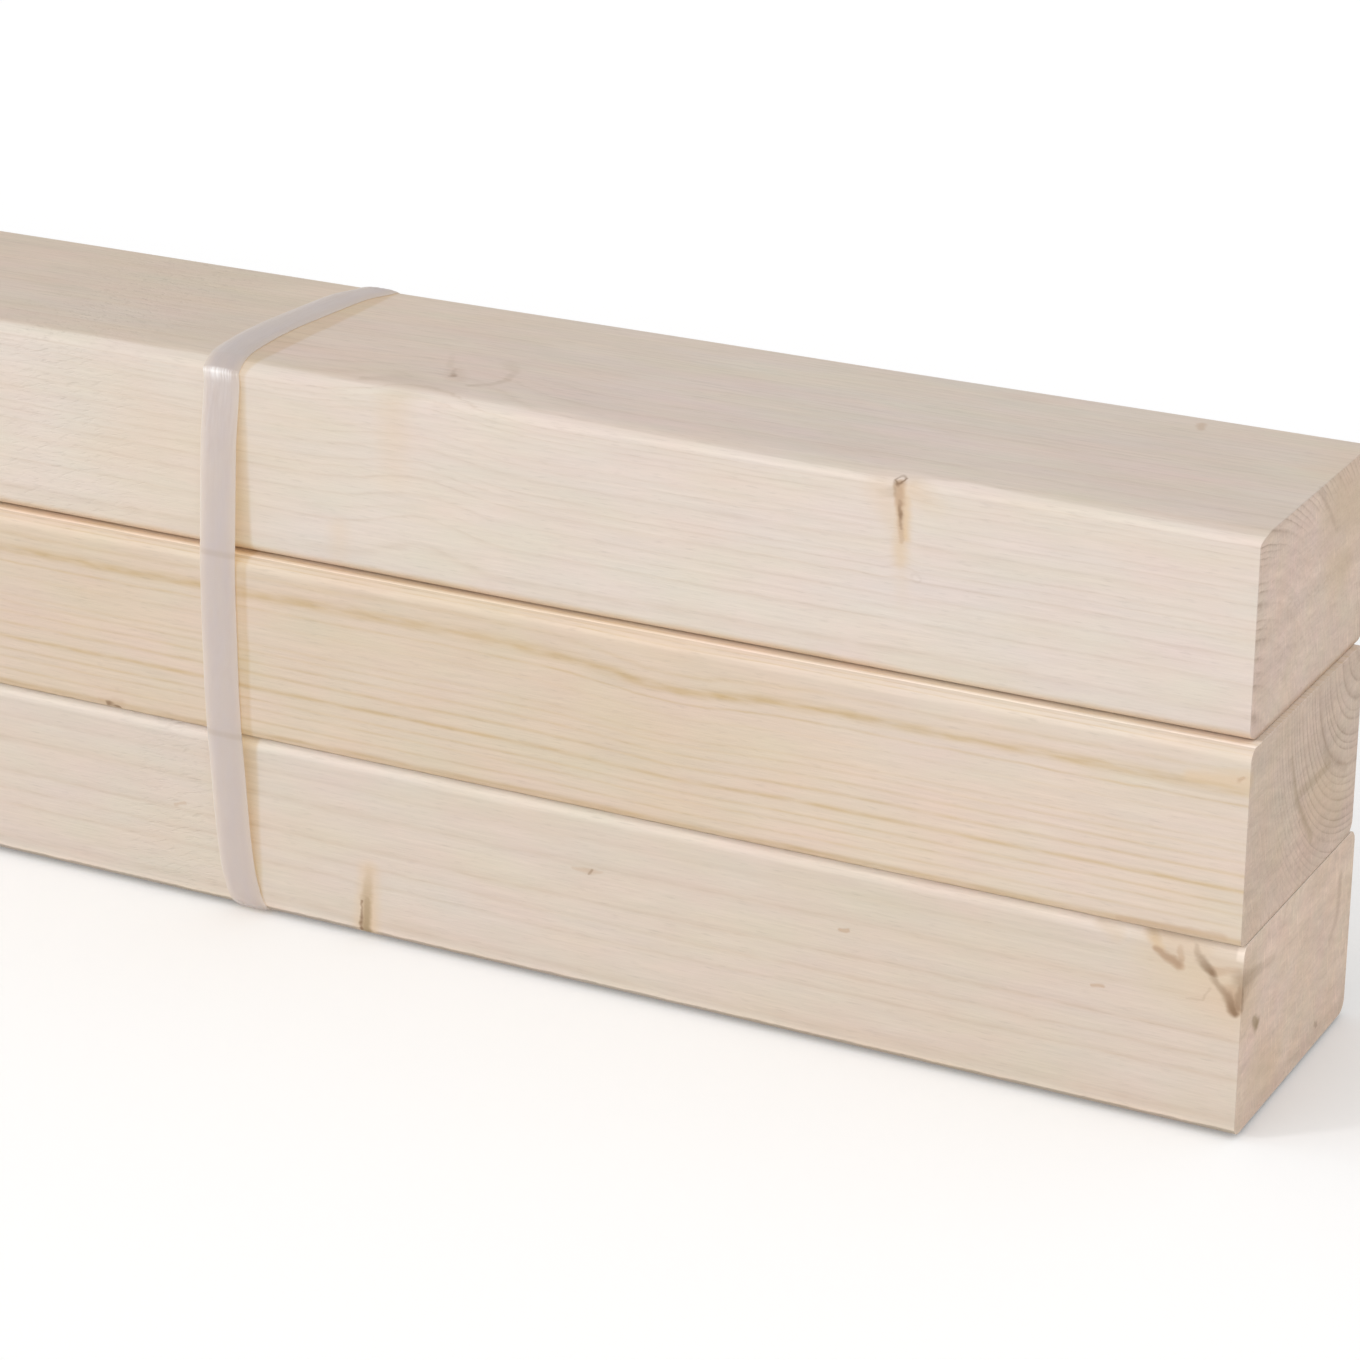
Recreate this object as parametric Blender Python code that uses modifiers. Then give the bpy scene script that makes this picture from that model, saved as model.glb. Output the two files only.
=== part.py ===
"""Bundle of three planed softwood battens, held by two plastic straps.

The battens lie flat on each other with their length along X. Each strap is one closed band,
drawn tight round the stack near its end. Metres, +Z up, origin on the floor under the middle.
"""

import math

import bmesh
import bpy
from mathutils import Matrix, Vector

# Battens
BATTEN_LENGTH = 2.100
BATTEN_WIDTH = 0.069
BATTEN_THICKNESS = 0.044
ARRIS_RADIUS = 0.003
ARRIS_SEGMENTS = 4

# Each batten in the stack, from the floor up: how far it is pushed along X and along Y
LAYERS = (
    ("batten_bottom", 0.0, 0.0),
    ("batten_middle", -0.0002, -0.0020),
    ("batten_top", -0.0017, 0.0006),
)

# Straps
STRAP_WIDTH = 0.010
STRAP_THICKNESS = 0.0006
STRAP_FROM_END = 0.246
STRAP_CORNER_STEP = math.radians(15)

# Room between pieces that touch
CONTACT_GAP = 0.0003

COLLECTION = "batten_bundle"

# Colour, roughness and metallic value of each material
FINISHES = {
    "batten_bottom": ((0.70, 0.60, 0.47), 0.60, 0.0),
    "batten_middle": ((0.70, 0.57, 0.40), 0.58, 0.0),
    "batten_top": ((0.72, 0.63, 0.52), 0.60, 0.0),
    "strap": ((0.72, 0.70, 0.72), 0.35, 0.0),
}


def clear_scene():
    for thing in list(bpy.data.objects):
        bpy.data.objects.remove(thing, do_unlink=True)


def make_collection():
    collection = bpy.data.collections.new(COLLECTION)
    bpy.context.scene.collection.children.link(collection)
    return collection


def make_material(name, finish):
    colour, roughness, metallic = FINISHES[finish]
    material = bpy.data.materials.new(name)
    material.use_nodes = True
    shader = material.node_tree.nodes["Principled BSDF"]
    shader.inputs["Base Color"].default_value = (*colour, 1.0)
    shader.inputs["Roughness"].default_value = roughness
    shader.inputs["Metallic"].default_value = metallic
    return material


def centred(values):
    """The same values, moved so that the lowest and the highest lie equally far from zero."""
    middle = (min(values) + max(values)) / 2
    return [value - middle for value in values]


def batten_centres():
    """The middle of each batten, stacked up from the strap that passes underneath."""
    along = centred([layer[1] for layer in LAYERS])
    across = centred([layer[2] for layer in LAYERS])
    underside = STRAP_THICKNESS + CONTACT_GAP
    pitch = BATTEN_THICKNESS + CONTACT_GAP
    return [
        Vector((x, y, underside + level * pitch + BATTEN_THICKNESS / 2))
        for level, (x, y) in enumerate(zip(along, across))
    ]


def make_batten(name, centre, collection):
    """A box with rounded long edges and square sawn ends."""
    mesh = bpy.data.meshes.new(name)
    shape = bmesh.new()
    size = Matrix.Diagonal((BATTEN_LENGTH, BATTEN_WIDTH, BATTEN_THICKNESS, 1.0))
    bmesh.ops.create_cube(shape, size=1.0, matrix=size)
    weight = shape.edges.layers.float.new("bevel_weight_edge")
    for edge in shape.edges:
        start, end = (corner.co for corner in edge.verts)
        edge[weight] = 1.0 if abs(end.x - start.x) > BATTEN_LENGTH / 2 else 0.0
    shape.to_mesh(mesh)
    shape.free()
    batten = bpy.data.objects.new(name, mesh)
    batten.location = centre
    arris = batten.modifiers.new("arris", "BEVEL")
    arris.limit_method = "WEIGHT"
    arris.width = ARRIS_RADIUS
    arris.segments = ARRIS_SEGMENTS
    mesh.materials.append(make_material(name, name))
    collection.objects.link(batten)
    return batten


def hull(points):
    """The corners of the smallest convex outline round the points, anticlockwise."""

    def chain(ordered):
        kept = []
        for point in ordered:
            while len(kept) > 1 and turn(kept[-2], kept[-1], point) <= 0:
                kept.pop()
            kept.append(point)
        return kept[:-1]

    ordered = sorted(points, key=tuple)
    return chain(ordered) + chain(ordered[::-1])


def turn(first, second, third):
    """Positive where the way from first to third through second bends to the left."""
    ahead = second - first
    on = third - second
    return ahead.x * on.y - ahead.y * on.x


def band_outline(clearance):
    """A taut loop round the stack, this far off the battens: arcs at the arrises it turns on."""
    reach_y = BATTEN_WIDTH / 2 - ARRIS_RADIUS
    reach_z = BATTEN_THICKNESS / 2 - ARRIS_RADIUS
    arrises = [
        Vector((centre.y + side * reach_y, centre.z + level * reach_z))
        for centre in batten_centres()
        for side in (-1, 1)
        for level in (-1, 1)
    ]
    corners = hull(arrises)
    radius = ARRIS_RADIUS + clearance
    outline = []
    for index, corner in enumerate(corners):
        before = corner - corners[index - 1]
        after = corners[(index + 1) % len(corners)] - corner
        start = math.atan2(-before.x, before.y)
        sweep = (math.atan2(-after.x, after.y) - start) % math.tau
        steps = max(1, math.ceil(sweep / STRAP_CORNER_STEP))
        for step in range(steps + 1):
            angle = start + sweep * step / steps
            outline.append(corner + radius * Vector((math.cos(angle), math.sin(angle))))
    return outline


def make_strap(name, middle_x, collection):
    """A flat band: the outline of its outer face with the inner one cut out, as wide as the strap."""
    curve = bpy.data.curves.new(name, "CURVE")
    curve.dimensions = "2D"
    curve.fill_mode = "BOTH"
    curve.extrude = STRAP_WIDTH / 2
    for clearance in (CONTACT_GAP + STRAP_THICKNESS, CONTACT_GAP):
        outline = band_outline(clearance)
        spline = curve.splines.new("POLY")
        spline.points.add(len(outline) - 1)
        for point, (y, z) in zip(spline.points, outline):
            point.co = (y, z, 0.0, 1.0)
        spline.use_cyclic_u = True
    strap = bpy.data.objects.new(name, curve)
    strap.rotation_euler = (math.pi / 2, 0.0, math.pi / 2)
    strap.location = (middle_x, 0.0, 0.0)
    curve.materials.append(make_material(name, "strap"))
    collection.objects.link(strap)
    return strap


def main():
    clear_scene()
    collection = make_collection()
    for (name, _, _), centre in zip(LAYERS, batten_centres()):
        make_batten(name, centre, collection)
    strap_x = BATTEN_LENGTH / 2 - STRAP_FROM_END
    make_strap("strap_right", strap_x, collection)
    make_strap("strap_left", -strap_x, collection)


main()
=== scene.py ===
"""Dresses the strapped bundle of three planed spruce battens.

Every batten is skinned as a run of cross-sections from end to end, with its eased arrises, sawn
ends and knots, and its wood is worked out from the place of the pith it was sawn round. The straps
are drawn tight round those same sections. Lengths in the settings are metres; a batten's own marks
are in millimetres from its right-hand end, its front face and its underside.
"""

import math
import random
from collections import namedtuple
from functools import partialmethod

import bmesh
import bpy
import numpy as np
from mathutils import Matrix, Vector, noise


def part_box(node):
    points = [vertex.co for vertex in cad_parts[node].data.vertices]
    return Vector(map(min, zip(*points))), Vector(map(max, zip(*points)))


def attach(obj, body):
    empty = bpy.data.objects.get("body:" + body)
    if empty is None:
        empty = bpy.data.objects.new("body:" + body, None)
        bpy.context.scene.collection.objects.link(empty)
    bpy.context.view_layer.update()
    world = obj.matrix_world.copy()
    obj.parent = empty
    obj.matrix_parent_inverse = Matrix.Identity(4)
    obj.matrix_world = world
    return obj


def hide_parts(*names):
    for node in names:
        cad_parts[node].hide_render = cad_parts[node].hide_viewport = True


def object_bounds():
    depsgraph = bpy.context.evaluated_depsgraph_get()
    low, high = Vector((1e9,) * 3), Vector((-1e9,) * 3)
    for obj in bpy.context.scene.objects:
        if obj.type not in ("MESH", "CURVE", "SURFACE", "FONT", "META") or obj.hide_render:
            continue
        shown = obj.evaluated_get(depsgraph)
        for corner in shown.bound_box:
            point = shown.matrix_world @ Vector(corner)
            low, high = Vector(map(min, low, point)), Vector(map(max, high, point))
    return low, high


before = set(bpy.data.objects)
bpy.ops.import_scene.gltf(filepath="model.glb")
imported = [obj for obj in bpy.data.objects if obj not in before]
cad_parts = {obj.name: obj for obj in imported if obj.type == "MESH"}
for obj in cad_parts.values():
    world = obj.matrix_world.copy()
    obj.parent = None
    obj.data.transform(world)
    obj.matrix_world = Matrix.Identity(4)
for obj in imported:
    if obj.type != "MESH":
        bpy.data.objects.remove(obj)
CAD_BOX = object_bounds()

bl_info = {
    "name": "Bundle of Wooden Battens",
    "version": (1, 0, 0),
    "blender": (4, 5, 0),
    "location": "3D View > Sidebar > Battens",
    "description": "Three planed spruce battens held by two plastic straps",
    "category": "Object",
}

MM = 0.001
# Strips of mesh across the run-in, and the bulge where it meets the eased edge
RUN_IN_STEPS = 4
RUN_IN_BULGE = 0.35
# How far the ends' rings are drawn in to the middle, in shares
END_INSETS = (0.0, 0.03, 0.10, 0.22, 0.40, 0.62, 0.82, 1.0)
# A batten's skin is laid flat in so many strips, one above the other. Each strip's height on the
# flat map, its margin, and the left foot of the right-hand and of the left-hand end, above them
THIRDS = 3
MAP_ROW = 0.3125
MAP_MARGIN = 0.004
MAP_ENDS = ((0.01, 0.9385), (0.13, 0.9385))
# Edges that turn by more than these angles, in degrees, stay crisp
BATTEN_CREASE = 32
STRAP_CREASE = 50
# From here on, in mm from the right-hand end, knots are scattered instead of placed
SCATTERED_FROM = 380
# Share of a ring's width, and how much late wood shows there
LATE_WOOD = ((0.0, 0.30), (0.09, 0.0), (0.50, 0.03), (0.76, 0.28), (0.91, 1.0), (1.0, 0.30))
STRAP_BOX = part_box("strap_right")

# A knot's middle line passes through the point along/depth/height, heading outwards from the pith.
# radius is its half thickness there, taper how far back it shrinks to nothing, pull how far it drags
# the growth rings with it, and stain, rim and heart how strongly its stained surround, its bark and
# its own wood show.
Knot = namedtuple(
    "Knot", "along depth height heading radius taper pull stain rim heart", defaults=(0.0, 0.0, 0.0)
)

# A soft-edged stroke from one point to another, with its half width and its strength at each of them
Mark = namedtuple("Mark", "start end halves strengths")

# A thin dark ring of bark or of grain bent round a knot: its reach along the batten and across it
Eye = namedtuple("Eye", "centre reach half strength")

# A stretch of the top front edge that is planed wider, or narrower, on top by so much
Swell = namedtuple("Swell", "along reach on_top")

# A growth ring that stands out: its distance from the pith, half its width and its strength
Band = namedtuple("Band", "radius half strength")

# How one batten was sawn and what shows on it, in mm from its right-hand end, front and underside.
# pith: its depth and height
# ring, narrowing, wander: the width of the ring 50 mm from the pith, how fast rings get thinner
#     further out, and how much they stray
# lines: how strongly late wood shows along the batten
# end_lines: the same at the ends' edges and further in, and how far from the pith it starts to fade
# pale, line, sawn: the colours of early wood, of late wood and of the ends
# arris: how far the top front edge is eased on top and in front, and how steeply it leaves the top
# glow: how much paler the eased edges are painted, a painted highlight
# run_in: how far in from the front the top face starts to fall away towards it, and how steeply
# low_arris: how far the low front edge is eased underneath and in front
# low_edge: that edge's tint, a painted warm shade, and the heights where it starts to fade and where it
# ends
# low_line: the height of a painted dark shade line below that edge, 0 for none
# fresh: the tint of the first part from the right-hand end
# marks: bark, a dark brown; heart, the brown of a knot's wood; olive, a greener one; resin, a tan
# bands, bands_from: rings that are given one by one, and where they take over from the even ones
# rim: the heights between which the top front edge is painted paler where the batten above shades it, and
# by how much
# torn: the places, each with its reach, where the planer has lifted the grain
# seed: what its own random draws start from
Batten = namedtuple(
    "Batten",
    "pith ring narrowing wander lines end_lines pale line sawn arris glow run_in low_arris low_edge"
    " low_line fresh knots marks seed swells bands bands_from rim torn eyes",
    defaults=((), (), 0.0, (), (), ()),
)

TOP = Batten(
    pith=(-8.0, -17.0),
    ring=2.35,
    narrowing=1.1,
    wander=1.0,
    lines=0.35,
    end_lines=(1.15, 0.20, 200),
    pale=(0.618, 0.536, 0.466),
    line=(0.430, 0.325, 0.240),
    sawn=(0.655, 0.519, 0.426),
    arris=(5.5, 1.9, 0.14),
    glow=0.20,
    run_in=(6.8, 0.15),
    low_arris=(5.0, 3.1),
    swells=(
        Swell(14, 36, -2.2),
        Swell(66, 9, 1.4),
        Swell(84, 9, -1.0),
        Swell(103, 38, -3.3),
        Swell(150, 22, -0.9),
        Swell(212, 9, -0.7),
        Swell(480, 70, -2.4),
        Swell(820, 110, -1.8),
        Swell(1190, 60, -2.6),
        Swell(1610, 120, -2.0),
    ),
    low_edge=((0.84, 0.76, 0.63), 1.6, 3.2),
    low_line=0.0,
    fresh=(1.0, 1.0, 1.0),
    torn=((290, 22),),
    knots=(
        Knot(78.2, 0.0, 36, (0.0, 0.12, 1.0), 1.7, 32, 0.9),
        Knot(195, 14, 44, (0.02, 0.30, 0.95), 8.0, 90, 4.2),
    ),
    marks={
        "resin": (
            Mark((77.4, 0, 40.5), (77.3, 0, 31.5), (1.4, 1.3), (0.75, 1.0)),
            Mark((78.2, 0, 42), (78.2, 0, 26.0), (2.0, 1.8), (0.85, 0.60)),
            Mark((78, 0, 26), (77.4, 0, 13), (2.2, 1.6), (0.25, 0.0)),
            Mark((83, 0, 41), (79.5, 0, 34), (3.6, 2.6), (0.30, 0.30)),
            Mark((76, 0.5, 42.2), (70, 0, 39.5), (3.0, 2.4), (0.50, 0.15)),
            Mark((200.4, 0, 44), (201.4, 0, 25), (5.0, 4.0), (0.34, 0.16)),
            Mark((215.4, 0, 10), (215.8, 0, 2), (2.8, 2.8), (0.25, 0.14)),
            Mark((262, 0, 24), (222, 0, 34), (22, 16), (0.24, 0.10)),
            Mark((0, 47, 38), (0, 62, 33), (9, 9), (0.50, 0.50)),
            Mark((0, 46, 23), (0, 53, 21), (7, 6), (0.40, 0.40)),
        ),
        "olive": (
            Mark((84.4, 0, 40.2), (80.4, 0, 41.0), (1.0, 1.5), (0.0, 0.20)),
            Mark((189.0, 31.0, 44), (184.6, 26, 44), (2.2, 1.2), (0.10, 0.14)),
            Mark((184.6, 26, 44), (183.2, 19.5, 44), (1.1, 1.1), (0.14, 0.22)),
            Mark((183.2, 19.5, 44), (184.8, 15.4, 44), (1.1, 1.1), (0.22, 0.18)),
            Mark((184.8, 15.4, 44), (188.6, 12.6, 44), (1.1, 0.9), (0.18, 0.24)),
            Mark((203.7, 31, 44), (199.6, 23, 44), (0.8, 1.0), (0.06, 0.14)),
            Mark((212, 6.6, 43.9), (205, 9.4, 44), (1.2, 2.4), (0.18, 0.14)),
            Mark((205, 10.5, 44), (190, 8.0, 44), (4.4, 3.0), (0.16, 0.08)),
        ),
        "heart": (
            Mark((78.9, 0.4, 43.2), (78.6, 0, 38.5), (1.4, 1.2), (0.85, 0.80)),
            Mark((78.6, 0, 38.5), (78.1, 0, 30.6), (1.05, 0.7), (0.75, 0.50)),
            Mark((197.0, 21.0, 44), (193.6, 15.5, 44), (2.2, 2.6), (0.20, 0.16)),
            Mark((36.6, 62.6, 44), (35.6, 59.6, 44), (1.2, 1.0), (0.50, 0.45)),
        ),
        "bark": (
            Mark((78.55, 0, 39.2), (78.4, 0, 36.4), (0.4, 0.5), (0.30, 0.80)),
            Mark((78.4, 0, 36.4), (78.25, 0, 33.2), (0.5, 0.3), (0.80, 0.30)),
            Mark((80.1, 0.4, 43.2), (79.7, 0, 40.4), (0.4, 0.35), (0.45, 0.15)),
            Mark((197.3, 21.6, 44), (196.4, 19.0, 44), (0.5, 0.6), (0.12, 0.24)),
            Mark((196.4, 19.0, 44), (195.2, 17.1, 44), (0.6, 0.95), (0.24, 0.50)),
            Mark((0, 35, 44), (0, 47, 31.5), (0.7, 0.9), (0.20, 0.14)),
        ),
    },
    eyes=(
        Eye((79.3, 1.6, 43.6), (0.95, 1.6), 0.45, 0.80),
        Eye((74.6, 0, 23), (0.9, 0.9), 0.35, 0.12),
    ),
    seed=3,
)
MIDDLE = Batten(
    pith=(70.5, 47.5),
    ring=1.7,
    narrowing=0.5,
    wander=0.22,
    lines=1.0,
    end_lines=(0.7, 1.15, 42),
    bands_from=70.6,
    bands=(
        Band(70.86, 0.07, 0.35),
        Band(71.43, 0.21, 1.0),
        Band(72.06, 0.07, 0.62),
        Band(72.92, 0.09, 0.18),
        Band(74.38, 0.12, 0.30),
        Band(74.99, 0.12, 0.34),
        Band(75.88, 0.14, 0.46),
        Band(77.01, 0.18, 0.66),
        Band(78.49, 0.25, 0.95),
        Band(79.88, 0.17, 0.60),
        Band(80.90, 0.15, 0.48),
        Band(82.40, 0.17, 0.50),
        Band(84.00, 0.30, 0.75),
    ),
    pale=(0.577, 0.468, 0.364),
    line=(0.480, 0.345, 0.190),
    sawn=(0.608, 0.472, 0.377),
    arris=(2.4, 3.0, 0.45),
    glow=0.15,
    run_in=(3.4, 0.0),
    low_arris=(2.6, 1.8),
    low_edge=((0.84, 0.77, 0.66), 0.8, 3.0),
    low_line=0.8,
    rim=(43.95, 44.12, 0.66),
    fresh=(1.04, 1.065, 1.13),
    knots=(
        Knot(131.6, 7, 27, (0.0, -0.96, -0.28), 7.0, 70, 0.62),
    ),
    marks={
        "resin": (
            Mark((13, 0, 36.4), (0.6, 0, 37.6), (1.3, 2.1), (0.65, 0.65)),
            Mark((0, 44, 18), (0, 55, 12), (8, 7), (0.40, 0.40)),
        ),
        "olive": (
            Mark((0, 25, 33), (0, 30, 22), (1.2, 1.2), (0.20, 0.40)),
            Mark((0, 30, 22), (0, 41, 9), (1.2, 1.2), (0.40, 0.30)),
            Mark((0, 30, 23), (0, 50, 22.5), (1.5, 1.2), (0.30, 0.30)),
        ),
        "heart": (
            Mark((282.6, 0, 2.0), (276.6, 0, 2.2), (0.8, 1.2), (0.30, 0.30)),
            Mark((2.5, 0, 37.3), (1.5, 0, 38.1), (0.6, 0.45), (0.60, 0.60)),
            Mark((27, 0, 1.4), (4, 0, 2.0), (0.8, 1.1), (0.42, 0.42)),
        ),
        "bark": (
            Mark((280.5, 0.3, 1.6), (277.3, 0.3, 1.2), (0.55, 0.40), (1.0, 1.0)),
            Mark((0, 42, 36), (0, 47.8, 25.4), (1.2, 1.4), (0.04, 0.24)),
            Mark((0, 47.8, 25.4), (0, 62, 17.4), (1.4, 1.0), (0.24, 0.16)),
        ),
    },
    seed=11,
)
BOTTOM = Batten(
    pith=(-12.0, 62.0),
    ring=6.4,
    narrowing=0.0,
    wander=1.2,
    lines=0.48,
    end_lines=(0.30, 0.10, 200),
    pale=(0.581, 0.499, 0.425),
    line=(0.440, 0.335, 0.245),
    sawn=(0.694, 0.541, 0.431),
    arris=(2.4, 3.2, 0.45),
    glow=0.28,
    run_in=(3.4, 0.0),
    low_arris=(2.8, 2.8),
    low_edge=((0.93, 0.88, 0.80), 0.8, 2.2),
    low_line=1.6,
    rim=(40.2, 41.2, 0.10),
    fresh=(0.985, 0.965, 0.940),
    torn=((262, 16),),
    knots=(
        Knot(212.3, 0.0, 5, (0.0, 0.10, -1.0), 1.8, 17, 1.0),
    ),
    marks={
        "resin": (
            Mark((212.4, 0, 2), (211.4, 0, 16.5), (3.0, 2.5), (0.95, 0.60)),
            Mark((20.4, 0, 43.2), (18.5, 0, 40.0), (2.2, 1.6), (1.0, 0.95)),
            Mark((18, 0, 43.5), (9, 0, 41.5), (4.0, 4.0), (0.65, 0.50)),
            Mark((16, 0, 38), (2, 0, 33), (8.0, 8.5), (0.45, 0.60)),
            Mark((32, 0, 43), (28, 0, 41), (1.5, 2.0), (0.35, 0.35)),
            Mark((0, 14, 10), (0, 20, 7), (7, 6), (0.35, 0.35)),
        ),
        "olive": (
            Mark((212.5, 0.4, 0.4), (212.1, 0, 9.4), (1.35, 1.2), (0.90, 0.62)),
            Mark((212.2, 0, 9.0), (211.3, 0, 17.2), (1.6, 1.1), (0.50, 0.08)),
            Mark((0, 8.0, 24.0), (0, 10.0, 22.2), (1.3, 1.7), (0.60, 0.85)),
        ),
        "heart": (
            Mark((6.2, 0, 37.4), (1.2, 0, 38.6), (1.1, 0.6), (0.60, 0.25)),
            Mark((2.6, 0, 33.4), (1.4, 0, 29.8), (1.9, 1.8), (0.60, 0.95)),
            Mark((19.2, 0, 39.6), (14.2, 0, 37.0), (1.0, 1.3), (0.75, 0.90)),
            Mark((13.9, 0, 40.8), (13.8, 0, 37.0), (0.8, 1.1), (0.40, 0.80)),
            Mark((0, 0, 32.5), (0, 5, 33.5), (2.8, 1.6), (0.60, 0.20)),
            Mark((157.8, 0, 28.7), (153.4, 0, 28.8), (0.4, 0.95), (0.30, 0.50)),
            Mark((153.4, 0, 28.8), (150.4, 0, 29.2), (0.95, 0.3), (0.45, 0.30)),
            Mark((92.0, 0, 27.9), (89.8, 0, 28.3), (0.45, 0.45), (0.62, 0.62)),
            Mark((33.2, 0, 28.1), (30.8, 0, 28.4), (0.4, 0.45), (0.58, 0.58)),
            Mark((264.3, 0, 22.6), (261.4, 0, 23.4), (0.5, 0.4), (0.40, 0.40)),
        ),
        "bark": (
            Mark((214.0, 0.4, 0.8), (213.6, 0, 8.6), (0.60, 0.34), (1.0, 0.75)),
            Mark((10.9, 0, 42.3), (9.5, 0, 39.4), (0.5, 1.1), (0.22, 0.45)),
            Mark((9.5, 0, 39.4), (6.9, 0, 36.7), (1.15, 1.0), (0.48, 0.90)),
            Mark((6.7, 0, 35.7), (3.2, 0, 32.2), (0.75, 1.05), (0.45, 0.55)),
            Mark((3.0, 0, 32.2), (1.5, 0, 28.9), (1.3, 1.05), (0.60, 0.92)),
            Mark((18.9, 0, 39.3), (14.6, 0, 37.3), (0.9, 1.1), (0.22, 0.30)),
            Mark((0, 0, 37), (0.9, 0, 30), (0.9, 1.1), (0.50, 0.60)),
            Mark((11.9, 0, 29.7), (8.6, 0, 30.2), (0.3, 0.35), (0.14, 0.16)),
            Mark((8.6, 0, 30.2), (7.1, 0, 33.2), (0.35, 0.3), (0.18, 0.14)),
            Mark((0, -0.5, 36.4), (0, 9.5, 35.2), (2.4, 1.4), (0.50, 0.30)),
            Mark((0, 9.5, 35.2), (0, 19, 33.8), (1.4, 0.7), (0.30, 0.12)),
            Mark((0, 60.6, 36), (0, 60.0, 27), (1.4, 1.2), (0.26, 0.20)),
            Mark((0, 60.0, 27), (0, 55.5, 22.0), (1.2, 1.0), (0.22, 0.14)),
            Mark((0, 49, 5.2), (0, 50.4, 4.2), (0.6, 0.6), (0.36, 0.40)),
            Mark((153.0, 0, 29.2), (153.7, 0, 28.1), (0.40, 0.35), (0.50, 0.50)),
        ),
    },
    seed=29,
)
BATTENS = {"batten_top": TOP, "batten_middle": MIDDLE, "batten_bottom": BOTTOM}

# How far the strap's middle strays towards the right-hand end as it comes down the front: share
# of the stack's height, millimetres
STRAP_DRIFT = (
    (0.00, 1.8), (0.015, 1.6), (0.037, 0.9), (0.066, 0.05), (0.096, -0.4), (0.155, -0.85),
    (0.23, -1.05), (0.42, -1.6), (0.58, -1.55), (0.72, -1.25), (0.87, -0.9), (0.92, -0.35),
    (0.963, 0.1), (1.00, 0.3),
)
# The same over the top: millimetres from the front, millimetres
STRAP_BOW = (
    (0, 0.1), (5, -0.95), (10, -2.5), (15, -3.6), (25, -4.6), (35, -4.7), (45, -3.9), (55, -3.1),
    (62, -2.2), (66, 0.0), (68, 1.0),
)
# Millimetres from one ring of a strap's mesh to the next, and points across each of its two sides
STRAP_STEP = 0.45
STRAP_ACROSS = 15
# How far a strap's outward direction turns over four rings where it counts as fully bent
FULL_BEND = 0.7
# Rings either way over which its straying is evened out, and mm that it stands off the front
EVENED_OVER = 9
LIFTED = 0.12


def measure(title, description, default, **limits):
    """A setting in metres."""
    return bpy.props.FloatProperty(
        name=title, description=description, default=default, unit="LENGTH", **limits
    )


def angle(title, description, degrees):
    """A setting that is an angle, given in degrees."""
    return bpy.props.FloatProperty(
        name=title, description=description, default=math.radians(degrees), subtype="ANGLE"
    )


def paint(title, description, *default):
    """A setting that is a colour, as shares of red, green and blue."""
    return bpy.props.FloatVectorProperty(
        name=title,
        description=description,
        default=default,
        size=3,
        subtype="COLOR",
        min=0.0,
        max=1.0,
    )


def amount(title, description, default, least=0.0, **limits):
    """A setting without a unit."""
    return bpy.props.FloatProperty(
        name=title, description=description, default=default, min=least, **limits
    )


def number(title, description, default, least):
    """A setting that is a whole number."""
    return bpy.props.IntProperty(name=title, description=description, default=default, min=least)


class BattenSettings(bpy.types.PropertyGroup):
    """How the battens are skinned and coloured."""

    arris: measure("Arris", "Radius of the long edges at the back", 3 * MM, min=0.5 * MM, max=8 * MM)
    swelling: measure(
        "Swelling",
        "How far the wide faces have swelled towards the battens above and below",
        0.13 * MM,
        min=0.0,
        max=0.14 * MM,
    )
    end_break: measure("End break", "How far the sawn ends' edges are worn off", 0.12 * MM, min=0.0)
    stations: number("Stations", "Lengths that each third of a batten is divided into", 190, 8)
    face_step: measure("Face step", "Widest strip of mesh across a face", 4 * MM, min=1 * MM)
    # Painted light on the narrow strip of top face that stands out past the batten above, which shades it
    end_strip_light: amount(
        "End strip", "How much paler the narrow strip is that stands out past the batten above", 0.34
    )
    arris_steps: number("Arris steps", "Strips of mesh round one arris", 9, 2)
    sawn_line: paint("Sawn line", "Colour of late wood on the sawn ends", 0.400, 0.295, 0.225)
    # Painted shade: the top face is tinted darker and browner, most of all beyond the first strap
    top_shade: paint(
        "Weathered", "Tint that the top face has taken, most of all beyond the first strap",
        0.965, 0.915, 0.860,
    )
    # Painted shadow: the wood beside each strap is tinted darker and warmer
    strap_shadow: paint(
        "Pressed", "Tint of the wood beside a strap that has slid a little", 0.930, 0.870, 0.765
    )
    knot_bark: paint("Knot bark", "Dark rim of a dead knot", 0.215, 0.130, 0.070)
    knot_heart: paint("Knot heart", "Wood inside a knot", 0.450, 0.305, 0.200)
    knot_olive: paint(
        "Knot olive", "Greener wood inside a small spike of knot, and wood bent round a knot",
        0.300, 0.215, 0.120,
    )
    knot_glow: paint("Knot glow", "Resin-stained wood round a knot", 0.600, 0.450, 0.300)


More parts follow.
